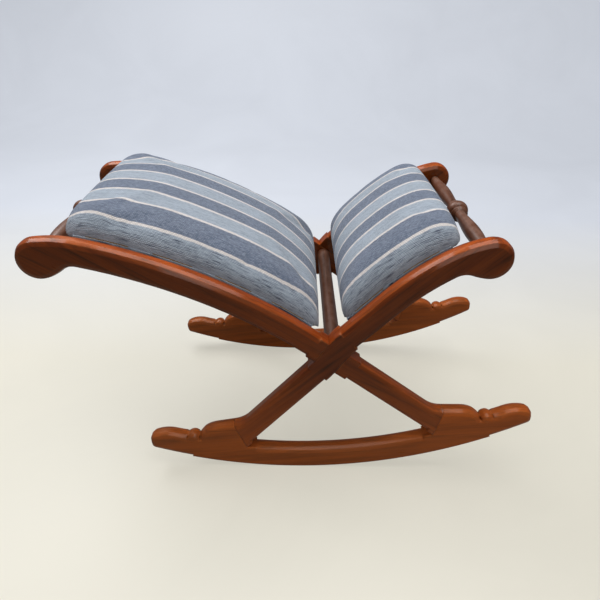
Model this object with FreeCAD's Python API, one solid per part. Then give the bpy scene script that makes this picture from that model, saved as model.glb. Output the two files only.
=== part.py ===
import FreeCAD
import Part
import math
import os

# Rocking footstool with two upholstered seats on crossed arms. Sizes are in millimetres and degrees.
# The stool is drawn upright, with the middle of its rockers at x = 0, and is leant at the end to the
# angle at which it comes to rest.

# Side frames
frame_spacing = 308.0
board_thickness = 23.0
member_width = 34.5
leg_slope = 43.5
crossing_height = 212.0
edge_round = 7.5
edge_flats = 2
square_margin = 16.0

# Rockers
rocker_radius = 666.0
rail_depth = 37.0
toe_reach = 288.0
toe_round = 24.0
toe_depth = 36.0
toe_end_depth = 11.0
toe_corner_round = 9.0
toe_length = 76.0
bead_length = 17.0
bead_depth = 40.5
bead_rise = 4.0
notch_depth = 43.5
knuckle_length = 28.0
knuckle_depth = 70.0
knuckle_slope = 65.0
knee_depth = 84.5
knee_blend = 13.0
running_edge_round = 2.5
corner_margin = 14.0
joint_tenon_width = 20.0
joint_tenon_depth = 13.0
joint_tenon_thickness = 8.0

# Arms
long_arm_slope = 42.4
long_arm_lift = -2.2
long_straight_length = 8.0
long_bend_radius = 745.0
long_bend_angle = 24.0
short_arm_slope = 41.3
short_arm_lift = 7.0
short_straight_length = 75.0
short_bend_radius = 340.0
short_bend_angle = 14.9
scroll_radius = 26.8
scroll_reach = 47.0
scroll_drop = 17.5
scroll_top_turn = 20.0
scroll_bottom_turn = 36.0

# Stretchers
tenon_radius = 6.0
tenon_length = 9.0
tenon_clearance = 0.1
neck_radius = 7.2
barrel_radius = 10.6
barrel_taper = 14.0
ball_radius = 14.6
ball_length = 20.0
ball_neck_radius = 7.6
ball_flats = 4
centre_radius = 11.0
centre_rise = 7.0

# Seats
seat_rail_thickness = 12.0
seat_rail_top = 16.0
seat_rail_bottom = -6.0
seat_rail_start = 48.0
seat_rail_overrun = 12.0
end_rail_width = 14.0
webbing_thickness = 1.5
webbing_width = 50.0
long_strap_count = 4
short_strap_count = 2
cover_thickness = 1.0
pad_clearance = 0.3
pad_side_clearance = 1.0
pad_top = 50.0
pad_gap = 32.0
pad_end_gap = 31.0
pad_inner_round = 24.0
pad_crown_reach = 45.0
pad_end_wall = 4.0
pad_edge_round = 10.0

# Angle at which the stool rests, with its long arms down
lean_angle = 6.6

half_width = member_width / 2
half_board = board_thickness / 2
inner_span = frame_spacing - board_thickness
crossing = FreeCAD.Vector(0, 0, crossing_height)
rocker_centre = FreeCAD.Vector(0, 0, rocker_radius)
lap_half_length = half_width / math.sin(math.radians(2 * leg_slope)) * (
    1 + abs(math.cos(math.radians(2 * leg_slope))))
square_end = lap_half_length + square_margin


def along(slope):
    """Direction that rises at a slope towards +x."""
    angle = math.radians(slope)
    return FreeCAD.Vector(math.cos(angle), 0, math.sin(angle))


def above(slope):
    """Direction square to along(slope), on its upper side."""
    return along(slope + 90)


def line(start, end):
    return Part.LineSegment(start, end).toShape()


def bend(start, direction, end):
    """Arc from start to end that leaves start in a direction."""
    chord = end - start
    across = direction - chord * (direction.dot(chord) / chord.dot(chord))
    if across.Length < 1e-6:
        return line(start, end)
    half_angle = math.atan2(across.Length, direction.dot(chord) / chord.Length) / 2
    across.normalize()
    middle = start + chord / 2 + across * (chord.Length / 2 * math.tan(half_angle))
    return Part.Arc(start, middle, end).toShape()


def blend(start, start_direction, end, end_direction):
    """Two arcs that leave start in one direction and reach end in another, as one smooth line."""
    chord = end - start
    spread = 2 * (1 - start_direction.dot(end_direction))
    pull = chord.dot(start_direction + end_direction)
    if spread < 1e-6:
        reach = chord.dot(chord) / (4 * chord.dot(end_direction))
    else:
        reach = (math.sqrt(pull ** 2 + spread * chord.dot(chord)) - pull) / spread
    joint = (start + end + (start_direction - end_direction) * reach) / 2
    last = end - joint
    joint_direction = last * (2 * end_direction.dot(last) / last.dot(last)) - end_direction
    return [bend(start, start_direction, joint), bend(joint, joint_direction, end)]


def arc_about(centre, start, end):
    """Shorter arc from start to end about a centre."""
    radius = (start - centre).Length
    middle = (start - centre) + (end - centre)
    middle.normalize()
    return Part.Arc(start, centre + middle * radius, end).toShape()


def arc_round(centre, start, end):
    """Longer arc from start to end about a centre."""
    radius = (start - centre).Length
    middle = (start - centre) + (end - centre)
    middle.normalize()
    return Part.Arc(start, centre - middle * radius, end).toShape()


def slab(edges, thickness):
    """Board of a closed outline in the XZ plane, centred on y = 0."""
    face = Part.Face(Part.Wire(edges))
    face.translate(FreeCAD.Vector(0, -thickness / 2, 0))
    return face.extrude(FreeCAD.Vector(0, thickness, 0))


def middle_of(edge):
    return edge.valueAt((edge.FirstParameter + edge.LastParameter) / 2)


def on_circle(radius, x):
    """Point at x on the lower half of a circle about the rockers' centre."""
    return FreeCAD.Vector(x, 0, rocker_radius - math.sqrt(radius ** 2 - x ** 2))


def above_floor_edge(x, depth):
    """Point a depth above the running edge of the rocker."""
    return on_circle(rocker_radius, x) + FreeCAD.Vector(0, 0, depth)


def mirrored(shape):
    return shape.mirror(FreeCAD.Vector(0, 0, 0), FreeCAD.Vector(1, 0, 0))


# The leg, its joint with the foot and the foot are worked out once, for the foot at -x.
leg_down = along(leg_slope) * -1
leg_up_side = above(leg_slope)


def inner_corner():
    """Where the leg's lower edge meets the top of the rocker's rail."""
    start = crossing - leg_up_side * half_width - rocker_centre
    radius = rocker_radius - rail_depth
    half_b = start.dot(leg_down)
    rest = start.dot(start) - radius ** 2
    distance = -half_b + math.sqrt(half_b ** 2 - rest)
    return rocker_centre + start + leg_down * distance


notch_reach = toe_reach - toe_length
run_past = edge_round / 2
corner_point = inner_corner()
notch_point = above_floor_edge(-notch_reach, notch_depth)
knuckle_point = above_floor_edge(-notch_reach + knuckle_length, knuckle_depth)
bead_end = above_floor_edge(-notch_reach - bead_length, bead_depth)
toe_corner_centre = on_circle(rocker_radius - toe_corner_round, -toe_reach + toe_corner_round)
toe_corner = rocker_centre + (toe_corner_centre - rocker_centre).normalize() * rocker_radius


def knee_corner():
    """Where the leg's upper edge would meet the top of the foot, without their blend."""
    start = crossing + leg_up_side * half_width
    reach = (start.z - knee_depth) / math.tan(math.radians(leg_slope)) - start.x
    for _ in range(8):
        height = above_floor_edge(-reach, knee_depth).z
        reach = (start.z - height) / math.tan(math.radians(leg_slope)) - start.x
    return FreeCAD.Vector(-reach, 0, height)


knee_point = knee_corner()
shoulder_direction = (knuckle_point - knee_point).normalize()
joint_top = knee_point + shoulder_direction * knee_blend
joint_bottom = corner_point


def arm_shape(slope, lift, straight_length, bend_radius, bend_angle):
    """Centre line of an arm: straight from the crossing, then an arc that flattens outwards."""
    origin = crossing + above(slope) * lift
    straight_end = square_end + straight_length
    return {
        "slope": slope,
        "origin": origin,
        "straight_end": straight_end,
        "radius": bend_radius,
        "centre": origin + along(slope) * straight_end - above(slope) * bend_radius,
        "end_slope": slope - bend_angle,
        "length": straight_end + bend_radius * math.radians(bend_angle),
    }


long_arm = arm_shape(long_arm_slope, long_arm_lift, long_straight_length,
                     long_bend_radius, long_bend_angle)
short_arm = arm_shape(short_arm_slope, short_arm_lift, short_straight_length,
                      short_bend_radius, short_bend_angle)


def slope_at(arm, distance):
    """Slope of an arm at a distance from the crossing."""
    bent = max(0, distance - arm["straight_end"])
    return arm["slope"] - math.degrees(bent / arm["radius"])


def on_arm(arm, distance, offset):
    """Point at a distance from the crossing and an offset above an arm's centre line."""
    slope = slope_at(arm, distance)
    if distance <= arm["straight_end"]:
        return arm["origin"] + along(slope) * distance + above(slope) * offset
    return arm["centre"] + above(slope) * (arm["radius"] + offset)


def distance_at(arm, x, offset):
    """Distance from the crossing at which a line offset from an arm stands over x."""
    near = 0
    far = 2 * arm["length"]
    for _ in range(40):
        middle = (near + far) / 2
        if on_arm(arm, middle, offset).x < x:
            near = middle
        else:
            far = middle
    return near


def path(arm, start, end, offset):
    """Edges that run along an arm at an offset, from one distance to another either way."""
    turn = arm["straight_end"]
    first = on_arm(arm, start, offset)
    last = on_arm(arm, end, offset)
    if max(start, end) <= turn:
        return [line(first, last)]
    if min(start, end) >= turn:
        return [arc_about(arm["centre"], first, last)]
    bend = on_arm(arm, turn, offset)
    if start < end:
        return [line(first, bend), arc_about(arm["centre"], bend, last)]
    return [arc_about(arm["centre"], first, bend), line(bend, last)]


def scroll_centre(arm):
    slope = arm["end_slope"]
    end = on_arm(arm, arm["length"], 0)
    return end + along(slope) * scroll_reach - above(slope) * scroll_drop


def crossing_leg_corners():
    """Lower and upper corners of the square length, at its end in the leg."""
    foot = crossing - along(leg_slope) * square_end
    return foot - above(leg_slope) * half_width, foot + above(leg_slope) * half_width


def crossing_runs(arm):
    """Lower and upper edges of the square length, eased from the leg into the arm."""
    low_corner, top_corner = crossing_leg_corners()
    leg_direction = along(leg_slope)
    arm_direction = along(arm["slope"])
    low_run = blend(low_corner, leg_direction, on_arm(arm, square_end, -half_width), arm_direction)
    top_run = blend(on_arm(arm, square_end, half_width), arm_direction * -1, top_corner, leg_direction * -1)
    return low_run, top_run


def crossing_block(arm):
    """Square length of a member, where the two members lap."""
    low_corner, top_corner = crossing_leg_corners()
    low_run, top_run = crossing_runs(arm)
    ends = [line(on_arm(arm, square_end, -half_width), on_arm(arm, square_end, half_width)),
            line(top_corner, low_corner)]
    return slab(low_run + ends[:1] + top_run + ends[1:], board_thickness)


def arm_run(arm):
    """Outline of an arm from the square length out, round its scrolled end and back."""
    slope = arm["end_slope"]
    top_slope = slope - scroll_top_turn
    bottom_slope = slope - scroll_bottom_turn
    middle = scroll_centre(arm)
    low_end = on_arm(arm, arm["length"], -half_width)
    top_end = on_arm(arm, arm["length"], half_width)
    scroll_low = middle - above(bottom_slope) * scroll_radius
    scroll_top = middle + above(top_slope) * scroll_radius
    run = path(arm, square_end, arm["length"], -half_width)
    run += blend(low_end, along(slope), scroll_low, along(bottom_slope))
    run.append(arc_round(middle, scroll_low, scroll_top))
    run += blend(scroll_top, along(top_slope) * -1, top_end, along(slope) * -1)
    return run + path(arm, arm["length"], square_end, half_width)


def corner_section(point, side, outward, radius, thickness):
    """Section of the waste cut from one corner of a board edge to round it in narrow flats."""
    sideways = FreeCAD.Vector(0, side, 0)
    corner = point + sideways * (thickness / 2)
    centre = corner - (sideways + outward) * radius
    turns = [math.radians(90 * number / edge_flats) for number in range(edge_flats + 1)]
    points = [centre + (outward * math.cos(turn) + sideways * math.sin(turn)) * radius for turn in turns]
    points += [points[-1] + sideways, corner + sideways + outward, points[0] + outward, points[0]]
    return Part.Face(Part.makePolygon(points))


def corner_waste(run, outward, radius, thickness=board_thickness):
    """Solids to cut from both corners of a board edge along a smooth run of lines and arcs."""
    across = FreeCAD.Vector(0, 1, 0)
    solids = []
    for edge in run:
        start = edge.valueAt(edge.FirstParameter)
        end = edge.valueAt(edge.LastParameter)
        sections = [corner_section(start, side, outward, radius, thickness) for side in (-1, 1)]
        if edge.Curve.TypeId == "Part::GeomCircle":
            centre = edge.Curve.Center
            sense = math.copysign(1, (start - centre).cross(middle_of(edge) - centre).y)
            turn = sense * math.degrees(edge.Length / edge.Curve.Radius)
            solids += [section.revolve(centre, across, turn) for section in sections]
            outward = FreeCAD.Rotation(across, turn).multVec(outward)
        else:
            solids += [section.extrude(end - start) for section in sections]
    return solids


def member(arm):
    """One board of a side frame: an arm, the crossing and the leg that carries on from it."""
    low_corner, top_corner = crossing_leg_corners()
    knee_start = knee_point - leg_down * knee_blend
    knee = blend(knee_start, leg_down, joint_top, shoulder_direction)
    low_run, top_run = crossing_runs(arm)
    outline = [line(joint_bottom, low_corner)] + low_run + arm_run(arm) + top_run
    outline += [line(top_corner, knee_start)] + knee + [line(joint_top, joint_bottom)]
    round_stop = corner_point - leg_down * corner_margin
    past_joint = line(joint_top, joint_top + shoulder_direction * board_thickness)
    waste = corner_waste(arm_run(arm), above(arm["slope"]) * -1, edge_round)
    waste += corner_waste([line(low_corner, round_stop)], leg_up_side * -1, edge_round)
    waste += corner_waste([line(top_corner, knee_start)] + knee + [past_joint], leg_up_side, edge_round)
    waste.append(joint_tenon(tenon_clearance))
    return slab(outline, board_thickness).cut(waste)


def lap_half(arm, side):
    """Half of the thickness of a member's crossing block, on its outer (-1) or inner (1) side."""
    block = crossing_block(arm)
    size = 4 * square_end
    corner = crossing + FreeCAD.Vector(-size / 2, 0 if side > 0 else -board_thickness, -size / 2)
    return block.common(Part.makeBox(size, board_thickness, size, corner))


def knuckle_run():
    """Rounded end of the foot, from the notch up to the shoulder."""
    return blend(notch_point, along(knuckle_slope), knuckle_point, shoulder_direction * -1)


def knuckle_waste():
    run_in = line(notch_point - along(knuckle_slope) * run_past, notch_point)
    run_out = line(knuckle_point, joint_top - shoulder_direction * board_thickness)
    return corner_waste([run_in] + knuckle_run() + [run_out], above(knuckle_slope), edge_round)


def bead_slopes():
    """Slopes of the bead's crown at its toe end and at the notch."""
    chord = notch_point - bead_end
    chord_slope = math.degrees(math.atan2(chord.z, chord.x))
    swell = math.degrees(2 * math.atan(2 * bead_rise / chord.Length))
    return chord_slope + swell, chord_slope - swell


def bead_run():
    """Crown of the small bead between the toe and the notch."""
    return [bend(bead_end, along(bead_slopes()[0]), notch_point)]


def bead_waste():
    start_slope, end_slope = bead_slopes()
    run_in = line(bead_end - along(start_slope) * run_past, bead_end)
    run_out = line(notch_point, notch_point + along(end_slope) * run_past)
    return corner_waste([run_in] + bead_run() + [run_out], above(start_slope), edge_round)


def toe_run():
    """Outline of the toe, from its running edge round the tip and back to the bead."""
    crest = above_floor_edge(-toe_reach + toe_round, toe_depth)
    tip = on_circle(rocker_radius, -toe_reach) + FreeCAD.Vector(0, 0, toe_end_depth)
    corner_high = toe_corner_centre - FreeCAD.Vector(toe_corner_round, 0, 0)
    inward = FreeCAD.Vector(1, 0, 0)
    run = [arc_about(toe_corner_centre, toe_corner, corner_high), line(corner_high, tip)]
    run += blend(tip, FreeCAD.Vector(0, 0, 1), crest, inward)
    run += blend(crest, inward, bead_end, (bead_end - crest).normalize())
    return run


def toe_waste():
    bead_foot = on_circle(rocker_radius, bead_end.x)
    running_run = arc_about(rocker_centre, bead_foot, toe_corner)
    outward = (bead_foot - rocker_centre).normalize()
    return corner_waste([running_run] + toe_run(), outward, edge_round)


def rail_waste():
    """Waste along the top of the rail and along the running edge, between the beads."""
    top_reach = -corner_point.x - corner_margin
    top_radius = rocker_radius - rail_depth
    top_start = on_circle(top_radius, -top_reach)
    top_run = arc_about(rocker_centre, top_start, on_circle(top_radius, top_reach))
    running_start = on_circle(rocker_radius, bead_end.x - run_past)
    running_run = arc_about(rocker_centre, running_start, on_circle(rocker_radius, run_past - bead_end.x))
    inward = (rocker_centre - top_start).normalize()
    outward = (running_start - rocker_centre).normalize()
    return corner_waste([top_run], inward, edge_round) + corner_waste([running_run], outward, running_edge_round)


def rod(start, direction, radius, length):
    return Part.makeCylinder(radius, length, start, direction)


def rocker_board():
    """Whole rocker: rail, and foot, knuckle, notch, bead and toe at each end."""
    end_run = toe_run() + bead_run() + knuckle_run()
    end_run += [line(knuckle_point, joint_top), line(joint_top, joint_bottom)]
    running_edge = arc_about(rocker_centre, toe_corner, FreeCAD.Vector(-toe_corner.x, 0, toe_corner.z))
    rail_top = arc_about(rocker_centre, joint_bottom, FreeCAD.Vector(-joint_bottom.x, 0, joint_bottom.z))
    outline = end_run + [rail_top] + [mirrored(edge) for edge in reversed(end_run)] + [running_edge]
    end_waste = toe_waste() + bead_waste() + knuckle_waste() + [joint_tenon(tenon_clearance)]
    return slab(outline, board_thickness).cut(rail_waste() + end_waste + [mirrored(piece) for piece in end_waste])


def joint_tenon(clearance):
    """Loose tenon across the joint of a leg and its foot, or with a clearance the mortises for it."""
    middle = (joint_top + joint_bottom) / 2
    run = (joint_top - joint_bottom).normalize()
    across = FreeCAD.Vector(run.z, 0, -run.x)
    half_run = run * (joint_tenon_width / 2 + clearance)
    half_across = across * (joint_tenon_depth + clearance)
    corners = [middle - half_run - half_across, middle + half_run - half_across,
               middle + half_run + half_across, middle - half_run + half_across]
    edges = [line(corners[number - 1], corners[number]) for number in range(len(corners))]
    return slab(edges, joint_tenon_thickness + 2 * clearance)


def tenon_hole(middle):
    """Blind hole in the inner face of a board, for a stretcher's tenon."""
    start = middle + FreeCAD.Vector(0, half_board - tenon_length - tenon_clearance, 0)
    return rod(start, FreeCAD.Vector(0, 1, 0), tenon_radius + tenon_clearance, board_thickness)


def centre_stretcher_place():
    return crossing + FreeCAD.Vector(0, 0, centre_rise)


def short_member():
    """Short arm and its leg: whole on the outer side of the crossing."""
    board = member(short_arm).cut(tenon_hole(scroll_centre(short_arm)))
    return board.cut(mirrored(lap_half(long_arm, 1)))


def long_member():
    """Long arm and its leg: passes behind the other at the crossing and takes the centre stretcher."""
    board = mirrored(member(long_arm).cut(tenon_hole(scroll_centre(long_arm))))
    return board.cut(lap_half(short_arm, -1)).cut(tenon_hole(centre_stretcher_place()))


def turned(profile):
    """Turned rod along y with a tenon at each end, from its profile as pairs of place and radius."""
    half = inner_span / 2
    end = half + tenon_length
    profile = [(-end, 0), (-end, tenon_radius), (-half, tenon_radius)] + profile
    profile += [(half, tenon_radius), (end, tenon_radius), (end, 0), (-end, 0)]
    face = Part.Face(Part.makePolygon([FreeCAD.Vector(0, y, radius) for y, radius in profile]))
    return face.revolve(FreeCAD.Vector(0, 0, 0), FreeCAD.Vector(0, 1, 0), 360)


def end_stretcher():
    """Turned rod with a ball bead in the middle and a barrel with tapered ends on each side of it."""
    half = inner_span / 2
    ball_half = ball_length / 2
    ball_rise = ball_radius - ball_neck_radius
    ball_arc = (ball_half ** 2 + ball_rise ** 2) / (2 * ball_rise)
    half_turn = math.asin(ball_half / ball_arc)
    ball = []
    for number in range(ball_flats + 1):
        turn = half_turn * (2 * number / ball_flats - 1)
        ball.append((ball_arc * math.sin(turn), ball_radius - ball_arc * (1 - math.cos(turn))))
    barrel = [(ball_half + barrel_taper, barrel_radius), (half - barrel_taper, barrel_radius), (half, neck_radius)]
    return turned([(-y, radius) for y, radius in reversed(barrel)] + ball + barrel)


def centre_stretcher():
    """Plain turned rod between the two crossings."""
    half = inner_span / 2
    return turned([(-half, centre_radius), (half, centre_radius)])


def band(arm, start, end, low, high, width):
    """Curved strip that follows an arm, between two distances and two offsets."""
    edges = path(arm, start, end, low)
    edges.append(line(on_arm(arm, end, low), on_arm(arm, end, high)))
    edges += path(arm, end, start, high)
    edges.append(line(on_arm(arm, start, high), on_arm(arm, start, low)))
    return slab(edges, width)


def moved(shape, x, y, z):
    copy = shape.copy()
    copy.translate(FreeCAD.Vector(x, y, z))
    return copy


def seat_pieces(name, arm, strap_count):
    """Seat frame, webbing, pad and dust cover of one pair of arms."""
    start = seat_rail_start
    end = arm["length"] + seat_rail_overrun
    rail_y = (inner_span - seat_rail_thickness) / 2
    side_rail = band(arm, start, end, seat_rail_bottom, seat_rail_top, seat_rail_thickness)
    between = inner_span - 2 * seat_rail_thickness
    pieces = {
        name + "_seat_front_rail": moved(side_rail, 0, -rail_y, 0),
        name + "_seat_rear_rail": moved(side_rail, 0, rail_y, 0),
        name + "_seat_inner_rail": band(arm, start, start + end_rail_width,
                                        seat_rail_bottom, seat_rail_top, between),
        name + "_seat_outer_rail": band(arm, end - end_rail_width, end,
                                        seat_rail_bottom, seat_rail_top, between),
        name + "_dust_cover": band(arm, start, end, seat_rail_bottom - cover_thickness,
                                   seat_rail_bottom, inner_span - 2 * pad_side_clearance),
        name + "_pad": pad(arm),
    }
    pitch = (end - start) / strap_count
    for number in range(strap_count):
        middle = start + (number + 0.5) * pitch
        pieces[name + "_webbing_" + str(number + 1)] = band(
            arm, middle - webbing_width / 2, middle + webbing_width / 2,
            seat_rail_top, seat_rail_top + webbing_thickness, inner_span - 2 * pad_side_clearance)
    return pieces


def pad(arm):
    """Upholstered pad: upright at its inner end, falling over in a curve at its outer end."""
    low = seat_rail_top + webbing_thickness + pad_clearance
    inner_x = pad_gap / 2
    outer_x = scroll_centre(arm).x - pad_end_gap
    up = FreeCAD.Vector(0, 0, 1)
    low_start = distance_at(arm, inner_x, low)
    low_end = distance_at(arm, outer_x, low)
    top_start = distance_at(arm, inner_x + pad_inner_round, pad_top)
    top_end = distance_at(arm, outer_x - pad_crown_reach, pad_top)
    low_inner = on_arm(arm, low_start, low)
    low_outer = on_arm(arm, low_end, low)
    shoulder = on_arm(arm, top_start, pad_top)
    wall_height = shoulder.z - low_inner.z - pad_inner_round * (1 + math.tan(math.radians(arm["slope"])))
    inner_wall = line(low_inner, low_inner + up * wall_height)
    outer_wall = line(low_outer + up * pad_end_wall, low_outer)
    run = [inner_wall] + blend(low_inner + up * wall_height, up, shoulder, along(slope_at(arm, top_start)))
    run += path(arm, top_start, top_end, pad_top)
    run += blend(on_arm(arm, top_end, pad_top), along(slope_at(arm, top_end)), low_outer + up * pad_end_wall, up * -1)
    run.append(outer_wall)
    width = inner_span - 2 * pad_side_clearance
    body = slab(run + path(arm, low_end, low_start, low), width)
    return body.cut(corner_waste(run, FreeCAD.Vector(-1, 0, 0), pad_edge_round, width))


def side_frame_pieces():
    """Boards and loose tenons of the front side frame, whose outer face is at -y."""
    return {
        "short_arm_and_leg": short_member(),
        "long_arm_and_leg": long_member(),
        "rocker": rocker_board(),
        "short_leg_tenon": joint_tenon(0),
        "long_leg_tenon": mirrored(joint_tenon(0)),
    }


def upright_model():
    """Every piece in the upright pose, by node name."""
    model = {}
    for name, shape in side_frame_pieces().items():
        front = moved(shape, 0, -frame_spacing / 2, 0)
        model["front_" + name] = front
        model["rear_" + name] = front.mirror(FreeCAD.Vector(0, 0, 0), FreeCAD.Vector(0, 1, 0))
    short_end = scroll_centre(short_arm)
    long_end = scroll_centre(long_arm)
    centre = centre_stretcher_place()
    model["short_end_stretcher"] = moved(end_stretcher(), short_end.x, 0, short_end.z)
    model["long_end_stretcher"] = moved(end_stretcher(), -long_end.x, 0, long_end.z)
    model["centre_stretcher"] = moved(centre_stretcher(), centre.x, 0, centre.z)
    model.update(seat_pieces("short", short_arm, short_strap_count))
    for name, shape in seat_pieces("long", long_arm, long_strap_count).items():
        model[name] = mirrored(shape)
    return model


def leant(shape):
    """Rolls a piece on the rockers to the resting angle."""
    copy = shape.copy()
    copy.rotate(rocker_centre, FreeCAD.Vector(0, 1, 0), -lean_angle)
    return copy


def main():
    os.makedirs("parts", exist_ok=True)
    model = {name: leant(shape) for name, shape in upright_model().items()}
    box = Part.makeCompound(list(model.values())).optimalBoundingBox()
    for name, shape in model.items():
        moved(shape, -box.Center.x, 0, 0).exportStep("parts/" + name + ".step")


main()
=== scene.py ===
import math

import bmesh
import bpy
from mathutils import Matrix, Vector
from mathutils.bvhtree import BVHTree


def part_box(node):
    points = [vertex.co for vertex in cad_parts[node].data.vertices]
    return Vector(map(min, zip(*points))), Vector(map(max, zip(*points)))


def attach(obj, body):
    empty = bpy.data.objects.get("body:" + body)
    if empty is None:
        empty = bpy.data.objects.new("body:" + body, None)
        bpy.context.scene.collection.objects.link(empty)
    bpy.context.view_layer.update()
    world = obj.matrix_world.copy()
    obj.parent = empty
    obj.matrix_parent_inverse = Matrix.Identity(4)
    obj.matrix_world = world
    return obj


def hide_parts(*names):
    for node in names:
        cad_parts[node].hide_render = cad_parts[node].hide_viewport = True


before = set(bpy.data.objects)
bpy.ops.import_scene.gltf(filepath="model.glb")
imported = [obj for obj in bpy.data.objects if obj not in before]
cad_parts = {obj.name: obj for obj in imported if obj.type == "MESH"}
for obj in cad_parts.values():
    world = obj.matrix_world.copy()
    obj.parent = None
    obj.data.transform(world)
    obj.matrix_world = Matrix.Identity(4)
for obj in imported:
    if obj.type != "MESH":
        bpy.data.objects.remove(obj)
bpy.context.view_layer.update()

bl_info = {
    "name": "Rocking footstool",
    "version": (1, 0, 0),
    "blender": (4, 5, 0),
    "location": "View3D > Sidebar > Stool",
    "description": "Dresses a rocking footstool with wood, turned stretchers and padded covers",
    "category": "Object",
}

# All lengths are in metres and all angles in degrees unless a property says otherwise.
BODY = "root"
RESTING_LEAN = 6.6
LEG_SLOPE = 43.5
ARM_FLATTER = 5


def linear(red, green, blue):
    """Scene colour from a colour as seen on a screen, 0 to 255 a channel."""
    channels = [value / 255 for value in (red, green, blue)]
    return tuple(value / 12.92 if value < 0.04 else ((value + 0.055) / 1.055) ** 2.4
                 for value in channels)


def colour_property(name, description, default):
    """Colour that a user can change in the sidebar."""
    return bpy.props.FloatVectorProperty(
        name=name, description=description, default=default, subtype="COLOR", size=3, min=0, max=1)


def length_property(name, description, default):
    """Length that a user can change in the sidebar."""
    return bpy.props.FloatProperty(
        name=name, description=description, default=default, unit="LENGTH", precision=4, min=0)


class StoolWood(bpy.types.PropertyGroup):
    """Colours of the wood and the profile of the turned stretchers."""

    light: colour_property("Light grain", "Pale streaks of the boards under lacquer", linear(146, 68, 18))
    middle: colour_property("Middle grain", "Main colour of the boards", linear(104, 42, 9))
    dark: colour_property("Dark grain", "Dark streaks of the boards", linear(46, 15, 4))
    worn: colour_property("Worn edge", "Colour where the lacquer is rubbed thin", linear(184, 116, 66))
    turned: colour_property("Turned wood", "Dusty colour of the stretchers", linear(86, 48, 28))
    raw: colour_property("Raw wood", "Unfinished wood of the loose tenons", linear(186, 148, 102))
    barrel_radius: length_property("Barrel radius", "Thickest radius beside the ball", 0.0106)
    neck_radius: length_property("Neck radius", "Radius where a stretcher enters a board", 0.0072)
    ball_radius: length_property("Ball radius", "Radius of the ball bead", 0.0158)
    ball_length: length_property("Ball length", "Length of the ball bead", 0.018)


class StoolCover(bpy.types.PropertyGroup):
    """Colours of the striped cover and how far it swells."""

    blue: colour_property("Blue band", "Darker bands of the cover", linear(80, 94, 120))
    grey: colour_property("Grey band", "Lighter bands of the cover", linear(156, 168, 182))
    cream: colour_property("Cream line", "Thin lines between the bands", linear(226, 218, 214))
    slub: colour_property("Dark yarn", "Dark flecks in the weave", linear(52, 62, 84))
    line_width: length_property("Line width", "Width of a cream line", 0.0042)
    yarn_pitch: length_property("Yarn pitch", "Distance between two yarns", 0.0019)
    shoulder: length_property("Shoulder", "Width of the rounded edge along the arms", 0.034)
    swell: length_property("Swell", "Furthest that the stuffing pushes the cloth out", 0.007)
    voxel: length_property("Cloth grid", "Grid of the cloth before it is smoothed", 0.005)


class StoolStage(bpy.types.PropertyGroup):
    """Camera and floor."""

    camera_place: bpy.props.FloatVectorProperty(
        name="Camera", description="Place of the camera",
        default=(-0.0173, -0.7041, 0.6419), unit="LENGTH", size=3)
    camera_turn: bpy.props.FloatVectorProperty(
        name="Camera turn", description="Turn of the camera about X, Y and Z",
        default=tuple(math.radians(angle) for angle in (58.31, -1.70, -0.47)),
        subtype="EULER", size=3)
    lens: bpy.props.FloatProperty(
        name="Lens", description="Focal length", default=30.13, unit="CAMERA")
    floor: colour_property("Floor", "Floor and backdrop", linear(234, 230, 216))


# Shader helpers

def feed(tree, made, inputs):
    """Fills a node's inputs, by name or number, with values or with other nodes' outputs."""
    for key, value in inputs.items():
        socket = made.inputs[key]
        if isinstance(value, bpy.types.NodeSocket):
            tree.links.new(value, socket)
        else:
            socket.default_value = value
    return made


def node(tree, kind, inputs=None, **settings):
    """Adds a shader node with its settings and inputs."""
    made = tree.nodes.new("ShaderNode" + kind)
    for key, value in settings.items():
        setattr(made, key, value)
    return feed(tree, made, inputs or {})


def maths(tree, operation, *values):
    """Result of one sum on values or outputs."""
    made = node(tree, "Math", dict(enumerate(values)), operation=operation)
    return made.outputs[0]


def mapped(tree, value, low, high, to_low=0.0, to_high=1.0):
    """A value's range stretched to another, without going past its ends."""
    made = node(tree, "MapRange", {"Value": value, "From Min": low, "From Max": high,
                                   "To Min": to_low, "To Max": to_high})
    return made.outputs[0]


def mixed(tree, share, first, second):
    """Colour between two, by the share of the second."""
    made = node(tree, "Mix", {"Factor": share, 6: first, 7: second}, data_type="RGBA")
    return made.outputs[2]


def part_of(tree, vector, axis):
    """One axis of a vector."""
    return node(tree, "SeparateXYZ", {0: vector}).outputs[axis]


def stretched(tree, vector, scale):
    """Vector with each axis scaled, so that a pattern on it runs long or fine."""
    made = node(tree, "Mapping", {"Vector": vector, "Scale": scale})
    return made.outputs[0]


def noise(tree, vector, scale, detail=3.0, roughness=0.5, distortion=0.0):
    """Cloudy value from 0 to 1 over a vector."""
    made = node(tree, "TexNoise", {"Vector": vector, "Scale": scale, "Detail": detail,
                                   "Roughness": roughness, "Distortion": distortion})
    return made.outputs["Fac"]


def bumped(tree, height, strength, distance):
    """Normal bent by a height."""
    made = node(tree, "Bump", {"Height": height, "Strength": strength, "Distance": distance})
    return made.outputs[0]


def object_place(tree):
    """Place on the object, in metres."""
    return node(tree, "TexCoord").outputs["Object"]


def opaque(colour):
    """Colour with full alpha, as a shader's input takes it."""
    return tuple(colour) + (1.0,)


def new_group(name, inputs, outputs):
    """Empty shader group with named sockets, and its input and output nodes."""
    tree = bpy.data.node_groups.new(name, "ShaderNodeTree")
    kinds = {"value": "NodeSocketFloat", "colour": "NodeSocketColor", "vector": "NodeSocketVector"}
    for socket, kind in inputs:
        tree.interface.new_socket(socket, in_out="INPUT", socket_type=kinds[kind])
    for socket, kind in outputs:
        tree.interface.new_socket(socket, in_out="OUTPUT", socket_type=kinds[kind])
    return tree, tree.nodes.new("NodeGroupInput").outputs, tree.nodes.new("NodeGroupOutput").inputs


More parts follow.
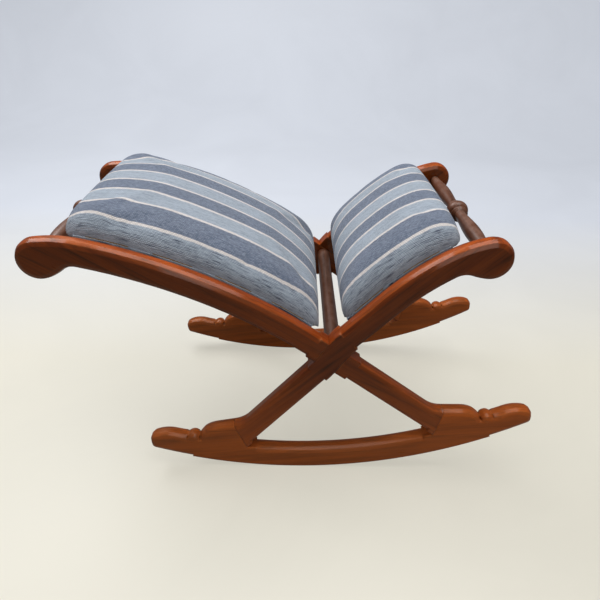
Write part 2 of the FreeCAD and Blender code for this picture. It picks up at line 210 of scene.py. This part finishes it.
def use_group(tree, name, inputs):
    """Outputs of a shared effect, placed with its own inputs."""
    made = tree.nodes.new("ShaderNodeGroup")
    made.node_tree = bpy.data.node_groups[name]
    return feed(tree, made, inputs).outputs


def build_grain():
    """Long wavy grain along X: colour, roughness and height of a lacquered board."""
    tree, taken, given = new_group(
        "Wood grain",
        [("Vector", "vector"), ("Light", "colour"), ("Middle", "colour"), ("Dark", "colour")],
        [("Color", "colour"), ("Roughness", "value"), ("Height", "value")])
    vector = taken["Vector"]
    figure = noise(tree, stretched(tree, vector, (3.0, 46, 46)), 1.0, 3.0, 0.55, 0.8)
    bands = noise(tree, stretched(tree, vector, (8, 190, 190)), 1.0, 4.0, 0.62, 0.5)
    fibre = noise(tree, stretched(tree, vector, (40, 900, 900)), 1.0, 2.0, 0.6)
    body = mixed(tree, mapped(tree, figure, 0.34, 0.66), taken["Middle"], taken["Light"])
    streak = maths(tree, "MULTIPLY", mapped(tree, bands, 0.50, 0.72),
                   mapped(tree, figure, 0.75, 0.35, 0.35, 1.0))
    streaked = mixed(tree, maths(tree, "MULTIPLY", streak, 0.85), body, taken["Dark"])
    pores = maths(tree, "MULTIPLY", mapped(tree, fibre, 0.60, 0.74), 0.5)
    tree.links.new(mixed(tree, pores, streaked, taken["Dark"]), given["Color"])
    tree.links.new(mapped(tree, bands, 0.3, 0.7, 0.26, 0.38), given["Roughness"])
    raised = maths(tree, "MULTIPLY", bands, 0.25)
    tree.links.new(maths(tree, "SUBTRACT", raised, pores), given["Height"])


def build_edge_wear():
    """Mask of the rounded edges, broken up by noise."""
    tree, taken, given = new_group(
        "Edge wear", [("Vector", "vector"), ("Radius", "value")], [("Mask", "value")])
    soft = node(tree, "Bevel", {"Radius": taken["Radius"]}, samples=6).outputs[0]
    true_normal = node(tree, "NewGeometry").outputs["True Normal"]
    facing = node(tree, "VectorMath", {0: soft, 1: true_normal}, operation="DOT_PRODUCT")
    patches = noise(tree, taken["Vector"], 38.0, 4.0, 0.6)
    edge = mapped(tree, facing.outputs["Value"], 0.995, 0.90)
    tree.links.new(maths(tree, "MULTIPLY", edge, mapped(tree, patches, 0.42, 0.66)), given["Mask"])


def build_dust():
    """Dust that settles where a surface faces up, thicker in patches."""
    tree, taken, given = new_group("Dust", [("Vector", "vector")], [("Mask", "value")])
    up = part_of(tree, node(tree, "NewGeometry").outputs["Normal"], "Z")
    patches = noise(tree, taken["Vector"], 60.0, 5.0, 0.65)
    settled = maths(tree, "MULTIPLY", mapped(tree, up, 0.1, 0.95), mapped(tree, patches, 0.35, 0.7))
    tree.links.new(settled, given["Mask"])


def build_weave():
    """Heathered weave on a flattened cloth, with X across the stripes and Y along them, in metres."""
    tree, taken, given = new_group("Weave", [("Vector", "vector"), ("Pitch", "value")],
                                   [("Fleck", "value"), ("Slub", "value"), ("Height", "value")])
    vector = taken["Vector"]
    wobble = maths(tree, "MULTIPLY", noise(tree, stretched(tree, vector, (90, 60, 1)), 1.0), 0.0004)
    across, lengthwise = (
        maths(tree, "DIVIDE", maths(tree, "ADD", part_of(tree, vector, axis), wobble), taken["Pitch"])
        for axis in ("X", "Y"))
    row = maths(tree, "FLOOR", across)
    shift = maths(tree, "MULTIPLY", maths(tree, "MODULO", row, 2.0), 0.5)
    float_place = maths(tree, "ADD", maths(tree, "MULTIPLY", lengthwise, 0.62), shift)
    yarn, float_wave = (
        maths(tree, "ABSOLUTE", maths(tree, "SINE", maths(tree, "MULTIPLY", place, math.pi)))
        for place in (across, float_place))
    cell = node(tree, "CombineXYZ", {"X": row, "Y": maths(tree, "FLOOR", float_place)}).outputs[0]
    random = node(tree, "TexWhiteNoise", {"Vector": cell}, noise_dimensions="2D").outputs["Value"]
    uneven = maths(tree, "MULTIPLY", random, 0.35)
    heather = noise(tree, stretched(tree, vector, (760, 170, 1)), 1.0, 3.0, 0.7)
    slub = noise(tree, stretched(tree, vector, (880, 58, 1)), 1.0, 3.0, 0.6)
    long_slub = noise(tree, stretched(tree, vector, (210, 24, 1)), 1.0, 2.0, 0.5)
    fleck = maths(tree, "ADD", uneven, mapped(tree, heather, 0.32, 0.68, 0.0, 0.65))
    tree.links.new(fleck, given["Fleck"])
    slubs = maths(tree, "MULTIPLY", mapped(tree, slub, 0.46, 0.62), mapped(tree, long_slub, 0.36, 0.56))
    tree.links.new(slubs, given["Slub"])
    woven = maths(tree, "MULTIPLY", yarn, mapped(tree, float_wave, 0.0, 1.0, 0.45, 1.0))
    tree.links.new(maths(tree, "ADD", woven, uneven), given["Height"])


def new_material(name):
    """Material with an empty Principled surface: its tree and that shader."""
    material = bpy.data.materials.new(name)
    material.use_nodes = True
    return material, material.node_tree, material.node_tree.nodes["Principled BSDF"]


def along_board(tree, angle):
    """Place on the object, turned so that X runs along a board at an angle above the floor."""
    place = object_place(tree)
    turned = node(tree, "VectorRotate", {"Vector": place, "Angle": math.radians(angle)},
                  rotation_type="Y_AXIS")
    return place, turned.outputs[0]


def grain_of(tree, vector, light, middle, dark):
    """Wood grain in three colours."""
    return use_group(tree, "Wood grain", {"Vector": vector, "Light": opaque(light),
                                          "Middle": opaque(middle), "Dark": opaque(dark)})


def valued(tree, colour, value):
    """Colour made lighter or darker."""
    return node(tree, "HueSaturation", {"Color": colour, "Value": value}).outputs[0]


def soft_bump(tree, height, strength, distance, radius):
    """Bump over a normal that is softened at the edges."""
    soft = node(tree, "Bevel", {"Radius": radius}, samples=8).outputs[0]
    made = node(tree, "Bump", {"Height": height, "Strength": strength, "Distance": distance,
                               "Normal": soft})
    return made.outputs[0]


def board_material(name, wood, angle, gloss, shade, fade):
    """Lacquered board with its grain along an angle.

    Gloss is the weight of its coat, shade is the painted shade on its sides (darker below 1, lighter
    above), and fade wears the lacquer. Faces that point up are painted lighter as painted light. The
    board grows paler towards the floor.
    """
    material, tree, surface = new_material(name)
    place, turned = along_board(tree, angle)
    grain = grain_of(tree, turned, wood.light, wood.middle, wood.dark)
    # Painted light and shade: faces that point up are painted lighter, and the sides get the painted
    # shade, less of it near the floor.
    facing = part_of(tree, node(tree, "NewGeometry").outputs["Normal"], "Z")
    low = mapped(tree, part_of(tree, place, "Z"), 0.20, 0.06)
    side = mapped(tree, low, 0.0, 1.0, shade, 1.3)
    painted_light_and_shade = maths(tree, "MAXIMUM", side, mapped(tree, facing, 0.1, 0.9, shade, 1.6))
    toned = valued(tree, grain["Color"], painted_light_and_shade)
    wear = use_group(tree, "Edge wear", {"Vector": place, "Radius": 0.004})["Mask"]
    dust = use_group(tree, "Dust", {"Vector": place})["Mask"]
    faded = mixed(tree, maths(tree, "MULTIPLY_ADD", low, 0.2, fade), toned, opaque(wood.worn))
    worn = mixed(tree, maths(tree, "MULTIPLY", wear, 0.35), faded, opaque(wood.worn))
    feed(tree, surface, {
        "Base Color": worn,
        "Roughness": maths(tree, "ADD", grain["Roughness"], maths(tree, "MULTIPLY", dust, 0.12)),
        "Coat Weight": maths(tree, "SUBTRACT", gloss, maths(tree, "MULTIPLY", wear, 0.3)),
        "Coat Roughness": 0.09,
        "Coat IOR": 1.38,
        "Coat Tint": (1.0, 0.86, 0.66, 1.0),
        "Specular IOR Level": 0.3,
        "Specular Tint": (1.0, 0.62, 0.38, 1.0),
        "Normal": soft_bump(tree, grain["Height"], 0.25, 0.0006, 0.0045),
    })
    return material


def scaled(colour, share):
    """Colour made paler or deeper, within the range of a colour."""
    return tuple(min(1, value * share) for value in colour)


def turned_material(wood):
    """Dull stretcher with fine grain along Y and dust on top."""
    material, tree, surface = new_material("Turned_wood")
    place = object_place(tree)
    turned = node(tree, "VectorRotate", {"Vector": place, "Angle": math.pi / 2},
                  rotation_type="Z_AXIS").outputs[0]
    grain = grain_of(tree, turned, scaled(wood.turned, 1.5), wood.turned, scaled(wood.turned, 0.42))
    dust = use_group(tree, "Dust", {"Vector": place})["Mask"]
    dusty = maths(tree, "MULTIPLY", dust, 0.22)
    feed(tree, surface, {
        "Base Color": mixed(tree, dusty, grain["Color"], opaque(linear(176, 150, 138))),
        "Roughness": mapped(tree, dust, 0.0, 1.0, 0.36, 0.62),
        "Coat Weight": mapped(tree, dust, 0.0, 1.0, 0.35, 0.05),
        "Coat Roughness": 0.25,
        "Specular IOR Level": 0.3,
        "Normal": bumped(tree, grain["Height"], 0.25, 0.0005),
    })
    return material


def raw_wood_material(wood):
    """Unfinished wood of the hidden tenons."""
    material, tree, surface = new_material("Raw_wood")
    grain = grain_of(tree, object_place(tree), scaled(wood.raw, 1.2), wood.raw, scaled(wood.raw, 0.55))
    feed(tree, surface, {
        "Base Color": grain["Color"],
        "Roughness": mapped(tree, grain["Height"], -0.3, 0.3, 0.85, 0.7),
        "Normal": bumped(tree, grain["Height"], 0.4, 0.0005),
    })
    return material


def cloth_material(name, colour, pitch, roughness):
    """Plain coarse weave for straps and linings."""
    material, tree, surface = new_material(name)
    weave = use_group(tree, "Weave", {"Vector": object_place(tree), "Pitch": pitch})
    feed(tree, surface, {
        "Base Color": mixed(tree, weave["Fleck"], opaque(scaled(colour, 0.5)), opaque(colour)),
        "Roughness": mapped(tree, weave["Fleck"], 0, 1, roughness - 0.08, roughness),
        "Normal": bumped(tree, weave["Height"], 0.6, 0.0006),
    })
    return material


# Places of the cream lines across the cover, from its middle, with the front negative.
CREAM_LINES = (-0.1275, -0.0870, -0.0525, -0.0160, 0.0220, 0.0620, 0.0940)


def stripe_masks(tree, across, line_width):
    """Masks of the blue bands and of the cream lines, from the place across the cover."""
    blue = 0.0
    line = 0.0
    for number, place in enumerate(CREAM_LINES):
        step = maths(tree, "GREATER_THAN", across, place)
        blue = maths(tree, "ADD" if number % 2 == 0 else "SUBTRACT", blue, step)
        distance = maths(tree, "ABSOLUTE", maths(tree, "SUBTRACT", across, place))
        near = mapped(tree, distance, line_width * 0.62, line_width * 0.42)
        line = maths(tree, "MAXIMUM", line, near)
    return blue, line


def flat_cloth(tree, laid_out):
    """Place on the flat cloth: from its map where it is laid out, or else from the place in space."""
    if laid_out:
        return node(tree, "UVMap", uv_map=CLOTH_MAP).outputs[0]
    parts = node(tree, "SeparateXYZ", {0: object_place(tree)}).outputs
    run = maths(tree, "ADD", parts["X"], parts["Z"])
    return node(tree, "CombineXYZ", {"X": parts["Y"], "Y": run}).outputs[0]


def cover_material(name, cover, laid_out):
    """Striped heathered cover: bands and lines across, yarns and dark slubs along."""
    material, tree, surface = new_material(name)
    flat = flat_cloth(tree, laid_out)
    weave = use_group(tree, "Weave", {"Vector": flat, "Pitch": cover.yarn_pitch})
    across = part_of(tree, flat, "X")
    ragged = maths(tree, "MULTIPLY", maths(tree, "SUBTRACT", weave["Fleck"], 0.5), 0.0012)
    blue, line = stripe_masks(tree, maths(tree, "ADD", across, ragged), cover.line_width)
    band = mixed(tree, blue, opaque(cover.grey), opaque(cover.blue))
    flecks = maths(tree, "MULTIPLY", weave["Fleck"], 0.34)
    tint = mixed(tree, flecks, band, opaque(linear(196, 204, 214)))
    side = mapped(tree, across, CREAM_LINES[0], CREAM_LINES[0] - 0.006, 0.34, 0.85)
    dark = mixed(tree, maths(tree, "MULTIPLY", weave["Slub"], side), tint, opaque(cover.slub))
    lined = mixed(tree, maths(tree, "MULTIPLY", line, 0.92), dark, opaque(cover.cream))
    # Painted shade: the colour is darkened where the weave is low, between the yarns.
    shade = mapped(tree, weave["Height"], 0.1, 1.1, 0.72, 1.06)
    worn = mapped(tree, noise(tree, flat, 16.0, 4.0, 0.6), 0.3, 0.7, 0.92, 1.06)
    feed(tree, surface, {
        "Base Color": valued(tree, lined, maths(tree, "MULTIPLY", shade, worn)),
        "Roughness": mapped(tree, weave["Fleck"], 0, 1, 0.82, 0.95),
        "Sheen Weight": 0.25,
        "Sheen Roughness": 0.5,
        "Specular IOR Level": 0.25,
        "Normal": bumped(tree, weave["Height"], 0.75, 0.0009),
    })
    return material


def floor_material(colour):
    """Pale floor, faintly clouded, that turns cooler towards the backdrop."""
    material, tree, surface = new_material("Pale_floor")
    place = object_place(tree)
    cloud = noise(tree, place, 2.2, 5.0, 0.6, 0.8)
    shade = mapped(tree, cloud, 0.35, 0.75, 0.97, 1.02)
    distant = mapped(tree, part_of(tree, place, "Y"), 0.1, 0.9)
    paint = mixed(tree, distant, opaque(colour), opaque(linear(226, 231, 241)))
    clouded = valued(tree, paint, shade)
    black = opaque((0, 0, 0))
    seen = node(tree, "LightPath").outputs["Is Camera Ray"]
    feed(tree, surface, {
        "Base Color": mixed(tree, 0.68, clouded, black),
        "Roughness": mapped(tree, cloud, 0.3, 0.7, 0.42, 0.55),
        "Emission Color": mixed(tree, seen, black, clouded),
        "Emission Strength": 0.62,
    })
    return material


# Mesh helpers

def add_object(name, data):
    """Object of a mesh, a lamp or a camera, placed in the scene."""
    made = bpy.data.objects.new(name, data)
    bpy.context.scene.collection.objects.link(made)
    return made


def dress(names, material):
    """Gives CAD pieces one material."""
    for name in names:
        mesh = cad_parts[name].data
        mesh.materials.clear()
        mesh.materials.append(material)


def named(*words):
    """CAD pieces whose names hold all the words."""
    return [name for name in sorted(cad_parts) if all(word in name for word in words)]


def lathe(name, profile, centre, segments=56):
    """Turned piece along Y, closed at both ends, from pairs of place and radius."""
    turns = [2 * math.pi * number / segments for number in range(segments)]
    shape = bmesh.new()
    rings = []
    for place, radius in profile:
        around = [Vector((radius * math.cos(turn), place, radius * math.sin(turn))) for turn in turns]
        rings.append([shape.verts.new(centre + point) for point in around])
    for first, second in zip(rings, rings[1:]):
        for number in range(segments):
            following = (number + 1) % segments
            shape.faces.new((first[number], first[following], second[following], second[number]))
    shape.faces.new(rings[0])
    shape.faces.new(list(reversed(rings[-1])))
    bmesh.ops.recalc_face_normals(shape, faces=shape.faces)
    mesh = bpy.data.meshes.new(name)
    shape.to_mesh(mesh)
    shape.free()
    mesh.shade_smooth()
    return add_object(name, mesh)


def eased(start, end, steps):
    """Pairs that swell smoothly from one place and radius to another."""
    pairs = []
    for number in range(steps + 1):
        share = number / steps
        rise = (1 - math.cos(math.pi * share)) / 2
        pairs.append((start[0] + (end[0] - start[0]) * share, start[1] + (end[1] - start[1]) * rise))
    return pairs


def stretcher_profile(wood, half):
    """Profile of an end stretcher: ball and fillets in the middle, barrels eased into the necks."""
    ball_half = wood.ball_length / 2
    fillet_end = ball_half + 0.0045
    throat = wood.neck_radius + 0.0006
    fillet_radius = throat + 0.0042
    side = []
    for number in range(9):
        turn = math.pi / 2 * number / 8
        side.append((ball_half * math.sin(turn),
                     throat + (wood.ball_radius - throat) * math.cos(turn) ** 0.8))
    side += [(ball_half + 0.0008, throat), (ball_half + 0.0012, fillet_radius)]
    side += [(fillet_end, fillet_radius), (fillet_end + 0.0008, throat)]
    barrel = ball_half + (half - ball_half) * 0.52
    side += eased((fillet_end + 0.0030, throat), (barrel, wood.barrel_radius), 10)
    side += eased((barrel + 0.001, wood.barrel_radius), (half, wood.neck_radius), 10)
    return [(-place, radius) for place, radius in reversed(side[1:])] + side


# Padded covers

CLOTH_MAP = "Cloth"
CLOTH_FRAMES = 20
PAD_STEP = 0.002
PAD_INSET = 0.0006
LEAST_THICKNESS = 0.004
CROWN = 0.0035
# Heights at which the rolled edges meet the walls, as shares of the pad's thickness.
WALL_SHARE = 0.22
END_WALL_SHARE = 0.40
END_ROLL = 0.042
# How far the cloth's lower edge comes down over the rails, and how far in and up that reaches.
SKIRT = 0.007
SKIRT_WIDTH = 0.012
SKIRT_HEIGHT = 0.014


class PadShape:
    """The stuffed space of one CAD pad, measured along its middle."""

    def __init__(self, node_name):
        self.low, self.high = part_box(node_name)
        self.half = self.high.y
        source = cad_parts[node_name]
        solid = BVHTree.FromObject(source, bpy.context.evaluated_depsgraph_get())
        self.rows = []
        for number in range(int((self.high.x - self.low.x) / PAD_STEP) + 1):
            x = max(self.low.x + number * PAD_STEP, self.low.x + PAD_INSET)
            x = min(x, self.high.x - PAD_INSET)
            top = solid.ray_cast(Vector((x, 0, 1)), Vector((0, 0, -1)))[0]
            base = solid.ray_cast(Vector((x, 0, 0)), Vector((0, 0, 1)))[0]
            self.rows.append((base.z, top.z))
        self.lengths = [0.0]
        for (_, first), (_, second) in zip(self.rows, self.rows[1:]):
            rise = min(abs(second - first), PAD_STEP)
            self.lengths.append(self.lengths[-1] + math.hypot(PAD_STEP, rise))

    def at(self, x):
        """Heights of the base and the top over x, and the length along the top."""
        place = min(max((x - self.low.x) / PAD_STEP, 0), len(self.rows) - 1.001)
        number = int(place)
        share = place - number
        base = self.rows[number][0] * (1 - share) + self.rows[number + 1][0] * share
        top = self.rows[number][1] * (1 - share) + self.rows[number + 1][1] * share
        length = self.lengths[number] * (1 - share) + self.lengths[number + 1] * share
        return base, top, length


def from_ends(pad, point):
    """Distances of a point from the pad's outer and inner ends."""
    first, last = point.x - pad.low.x, pad.high.x - point.x
    return (first, last) if pad.high.x + pad.low.x < 0 else (last, first)


def rounded_height(pad, point, shoulder):
    """Height of a point once the top is crowned and rolled over along the arms and at the outer end."""
    base, top, _ = pad.at(point.x)
    thickness = max(top - base, LEAST_THICKNESS)
    past = max(0.0, abs(point.y) - (pad.half - shoulder)) / shoulder
    roll = WALL_SHARE + (1 - WALL_SHARE) * math.sqrt(max(0.0, 1 - min(past, 1) ** 2))
    crown = CROWN * (1 - (point.y / pad.half) ** 2)
    share = (point.z - base) / thickness
    outer, _ = from_ends(pad, point)
    end_past = min(max(0.0, END_ROLL - outer) / END_ROLL, 1)
    end_roll = END_WALL_SHARE + (1 - END_WALL_SHARE) * math.sqrt(1 - end_past ** 2)
    return base + thickness * share * roll * end_roll + crown * max(0, min(share, 1)) ** 2


def pinned_weights(cloth, pad):
    """Holds the underside, and lets the cloth go gradually above it."""
    group = cloth.vertex_groups.new(name="held")
    for vertex in cloth.data.vertices:
        base = pad.at(vertex.co.x)[0]
        above = (vertex.co.z - base) / 0.012
        group.add([vertex.index], min(1.0, max(0.0, 1 - above)), "REPLACE")


def swell(cloth, pad, cover):
    """Blows the cover up against its stitching, for a few frames of cloth, and caps the movement."""
    scene = bpy.context.scene
    start = [vertex.co.copy() for vertex in cloth.data.vertices]
    pinned_weights(cloth, pad)
    modifier = cloth.modifiers.new("Swell", "CLOTH")
    settings = modifier.settings
    settings.quality = 5
    settings.mass = 0.3
    settings.tension_stiffness = 18
    settings.compression_stiffness = 18
    settings.shear_stiffness = 8
    settings.bending_stiffness = 0.6
    settings.use_pressure = True
    settings.uniform_pressure_force = 4
    settings.vertex_group_mass = "held"
    settings.effector_weights.gravity = 0
    modifier.collision_settings.use_collision = False
    for number in range(1, CLOTH_FRAMES + 1):
        scene.frame_set(number)
    shaped = cloth.evaluated_get(bpy.context.evaluated_depsgraph_get()).data
    ends = [vertex.co.copy() for vertex in shaped.vertices]
    cloth.modifiers.clear()
    cloth.vertex_groups.clear()
    scene.frame_set(1)
    for vertex, first, last in zip(cloth.data.vertices, start, ends):
        move = last - first
        if move.length > cover.swell:
            move *= cover.swell / move.length
        vertex.co = first + move


def unrolled(pad, point, shoulder):
    """Place on the flat cloth: across from the middle, and along the arm, in metres."""
    base, top, length = pad.at(point.x)
    thickness = max(top - base, LEAST_THICKNESS)
    edge = pad.half - shoulder
    past = min(max(0.0, abs(point.y) - edge) / shoulder, 1.0)
    across = abs(point.y) if past == 0 else edge + shoulder * math.asin(past)
    wall = max(0.0, past - 0.85) / 0.15
    across += wall * max(0.0, base + WALL_SHARE * thickness - point.z)
    drop = max(0.0, top - point.z)
    past_middle = point.x > (pad.low.x + pad.high.x) / 2
    end_share = max(0.0, 1 - min(point.x - pad.low.x, pad.high.x - point.x) / 0.03)
    return math.copysign(across, point.y), length + (drop if past_middle else -drop) * end_share


def lower_skirt(piece, pad):
    """Pulls the cover's lower edge down over the seat rails all round."""
    for vertex in piece.data.vertices:
        base = pad.at(vertex.co.x)[0]
        above = max(0.0, vertex.co.z - base) / SKIRT_HEIGHT
        outer, inner = from_ends(pad, vertex.co)
        edge = min(pad.half - abs(vertex.co.y), outer, inner)
        reach = max(0.0, 1 - edge / SKIRT_WIDTH)
        vertex.co.z -= SKIRT * max(0.0, 1 - above) * min(1.0, 1.6 * reach)


def lay_out_cloth(mesh, pad, shoulder):
    """Stores the unrolled place of every corner as the cloth's flat map."""
    layer = mesh.uv_layers.new(name=CLOTH_MAP)
    places = [unrolled(pad, vertex.co, shoulder) for vertex in mesh.vertices]
    for corner in mesh.loops:
        layer.data[corner.index].uv = places[corner.vertex_index]


def applied(piece):
    """Bakes a piece's modifiers into its mesh."""
    graph = bpy.context.evaluated_depsgraph_get()
    mesh = bpy.data.meshes.new_from_object(piece.evaluated_get(graph))
    piece.modifiers.clear()
    piece.data = mesh


def padded_cover(node_name, cover):
    """Crowned, stuffed cover in place of one plain CAD pad."""
    pad = PadShape(node_name)
    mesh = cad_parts[node_name].data.copy()
    piece = add_object(node_name.replace("pad", "padded_cover"), mesh)
    remesh = piece.modifiers.new("Grid", "REMESH")
    remesh.mode = "VOXEL"
    remesh.voxel_size = cover.voxel
    applied(piece)
    for vertex in piece.data.vertices:
        vertex.co.z = rounded_height(pad, vertex.co, cover.shoulder)
    swell(piece, pad, cover)
    for vertex in piece.data.vertices:
        vertex.co.y = min(max(vertex.co.y, -pad.half), pad.half)
    smooth = piece.modifiers.new("Smooth", "SMOOTH")
    smooth.factor = 0.5
    smooth.iterations = 4
    divide = piece.modifiers.new("Divide", "SUBSURF")
    divide.levels = 1
    divide.render_levels = 1
    applied(piece)
    lower_skirt(piece, pad)
    lay_out_cloth(piece.data, pad, cover.shoulder)
    piece.data.shade_smooth()
    return piece


# Stage

def area_light(name, place, target, size, power, tint):
    """Square-cornered lamp that shines at a target."""
    lamp = bpy.data.lights.new(name, "AREA")
    lamp.shape = "RECTANGLE"
    lamp.size, lamp.size_y = size
    lamp.energy = power
    lamp.color = tint
    made = add_object(name, lamp)
    made.location = place
    made.rotation_euler = (Vector(target) - Vector(place)).to_track_quat("-Z", "Y").to_euler()


def cyclorama(material):
    """Floor that sweeps up into the backdrop behind the stool."""
    half_width = 3.0
    near, bend_start, radius, top = -2.2, 1.6, 0.9, 3.0
    outline = [(near, 0.0)]
    for number in range(17):
        turn = math.pi / 2 * number / 16
        outline.append((bend_start + radius * math.sin(turn), radius * (1 - math.cos(turn))))
    outline.append((bend_start + radius, top))
    verts = [(side * half_width, y, z) for y, z in outline for side in (-1, 1)]
    faces = [(2 * row, 2 * row + 1, 2 * row + 3, 2 * row + 2) for row in range(len(outline) - 1)]
    mesh = bpy.data.meshes.new("floor")
    mesh.from_pydata(verts, [], faces)
    mesh.materials.append(material)
    mesh.shade_smooth()
    return add_object("floor", mesh)


# Operators

class StoolBoards(bpy.types.Operator):
    """Gives the arms, legs and rockers their lacquered wood"""

    bl_idname = "stool.boards"
    bl_label = "Boards"

    def execute(self, context):
        wood = context.scene.stool_wood
        slope = LEG_SLOPE - ARM_FLATTER
        # Shade sets each board's painted shade on its sides; the rockers' value is above 1, so their
        # sides are painted lighter.
        looks = {
            "long_arm": {"angle": RESTING_LEAN - slope, "gloss": 0.6, "shade": 0.62, "fade": 0.02},
            "short_arm": {"angle": RESTING_LEAN + slope, "gloss": 0.6, "shade": 0.55, "fade": 0.0},
            "rocker": {"angle": RESTING_LEAN, "gloss": 0.3, "shade": 1.2, "fade": 0.05},
        }
        for words, look in looks.items():
            dress(named(words), board_material("Lacquered_" + words, wood, **look))
        return {"FINISHED"}


class StoolStretchers(bpy.types.Operator):
    """Turns the two end stretchers and finishes the centre one"""

    bl_idname = "stool.stretchers"
    bl_label = "Turned stretchers"

    def execute(self, context):
        wood = context.scene.stool_wood
        material = turned_material(wood)
        for end in ("long", "short"):
            node_name = end + "_end_stretcher"
            low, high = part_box(node_name)
            inner_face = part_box("front_" + end + "_arm_and_leg")[1].y
            profile = stretcher_profile(wood, -inner_face)
            piece = lathe(end + "_turned_stretcher", profile, (low + high) / 2)
            piece.data.materials.append(material)
            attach(piece, BODY)
            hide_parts(node_name)
        dress(["centre_stretcher"], material)
        return {"FINISHED"}


class StoolSeatFrames(bpy.types.Operator):
    """Finishes the rails, webbing, linings and tenons that the covers hide"""

    bl_idname = "stool.seat_frames"
    bl_label = "Seat frames"

    def execute(self, context):
        dress(named("_tenon"), raw_wood_material(context.scene.stool_wood))
        wrapped = cover_material("Wrapped_cover", context.scene.stool_cover, laid_out=False)
        dress(named("_rail"), wrapped)
        dress(named("webbing"), cloth_material("Jute_webbing", linear(150, 124, 86), 0.003, 0.95))
        dress(named("dust_cover"), cloth_material("Black_lining", linear(46, 46, 50), 0.0012, 0.9))
        return {"FINISHED"}


class StoolPads(bpy.types.Operator):
    """Stuffs and covers the two seats"""

    bl_idname = "stool.pads"
    bl_label = "Padded covers"

    def execute(self, context):
        cover = context.scene.stool_cover
        material = cover_material("Striped_cover", cover, laid_out=True)
        for node_name in named("_pad"):
            piece = padded_cover(node_name, cover)
            piece.data.materials.clear()
            piece.data.materials.append(material)
            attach(piece, BODY)
            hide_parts(node_name)
        return {"FINISHED"}


class StoolStageSetter(bpy.types.Operator):
    """Sets the floor, the lamps and the camera"""

    bl_idname = "stool.stage"
    bl_label = "Stage"

    def execute(self, context):
        stage = context.scene.stool_stage
        cyclorama(floor_material(stage.floor))
        middle = (0, 0, 0.2)
        area_light("window", (-0.9, 0.9, 1.9), middle, (1.6, 1.2), 34, (0.98, 0.99, 1.0))
        area_light("ceiling", (0.3, -0.1, 2.1), middle, (1.4, 1.4), 24, (1.0, 0.99, 0.97))
        area_light("fill", (0.4, -1.9, 1.1), middle, (1.2, 0.9), 8, (1.0, 0.98, 0.95))
        world = bpy.data.worlds.new("room")
        context.scene.world = world
        world.use_nodes = True
        glow = {"Color": (0.95, 0.97, 1.0, 1.0), "Strength": 0.22}
        feed(world.node_tree, world.node_tree.nodes["Background"], glow)
        lens = bpy.data.cameras.new("camera")
        lens.lens = stage.lens
        lens.sensor_width = 36
        lens.clip_start = 0.01
        camera = add_object("camera", lens)
        camera.location = stage.camera_place
        camera.rotation_euler = stage.camera_turn
        context.scene.camera = camera
        context.scene.view_settings.view_transform = "Standard"
        return {"FINISHED"}


class StoolPanel(bpy.types.Panel):
    """Steps that dress the stool, and their sizes and colours"""

    bl_idname = "VIEW3D_PT_stool"
    bl_label = "Rocking footstool"
    bl_space_type = "VIEW_3D"
    bl_region_type = "UI"
    bl_category = "Stool"

    def draw(self, context):
        for operator in STEPS:
            self.layout.operator(operator.bl_idname)
        for group_name in GROUPS:
            group = getattr(context.scene, group_name)
            box = self.layout.box()
            for name in group.__annotations__:
                box.prop(group, name)


STEPS = (StoolBoards, StoolStretchers, StoolSeatFrames, StoolPads, StoolStageSetter)
GROUPS = {"stool_wood": StoolWood, "stool_cover": StoolCover, "stool_stage": StoolStage}


def register():
    """Makes the properties, operators and panel known."""
    for group in GROUPS.values():
        bpy.utils.register_class(group)
    for operator in STEPS:
        bpy.utils.register_class(operator)
    bpy.utils.register_class(StoolPanel)
    for name, group in GROUPS.items():
        setattr(bpy.types.Scene, name, bpy.props.PointerProperty(type=group))


def unregister():
    """Takes the properties, operators and panel away again."""
    for name in GROUPS:
        delattr(bpy.types.Scene, name)
    for made in (StoolPanel, *reversed(STEPS), *reversed(GROUPS.values())):
        bpy.utils.unregister_class(made)


def main():
    """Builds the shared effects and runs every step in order."""
    register()
    for build in (build_grain, build_edge_wear, build_dust, build_weave):
        build()
    for operator in STEPS:
        group, name = operator.bl_idname.split(".")
        getattr(getattr(bpy.ops, group), name)()


if __name__ == "__main__":
    main()
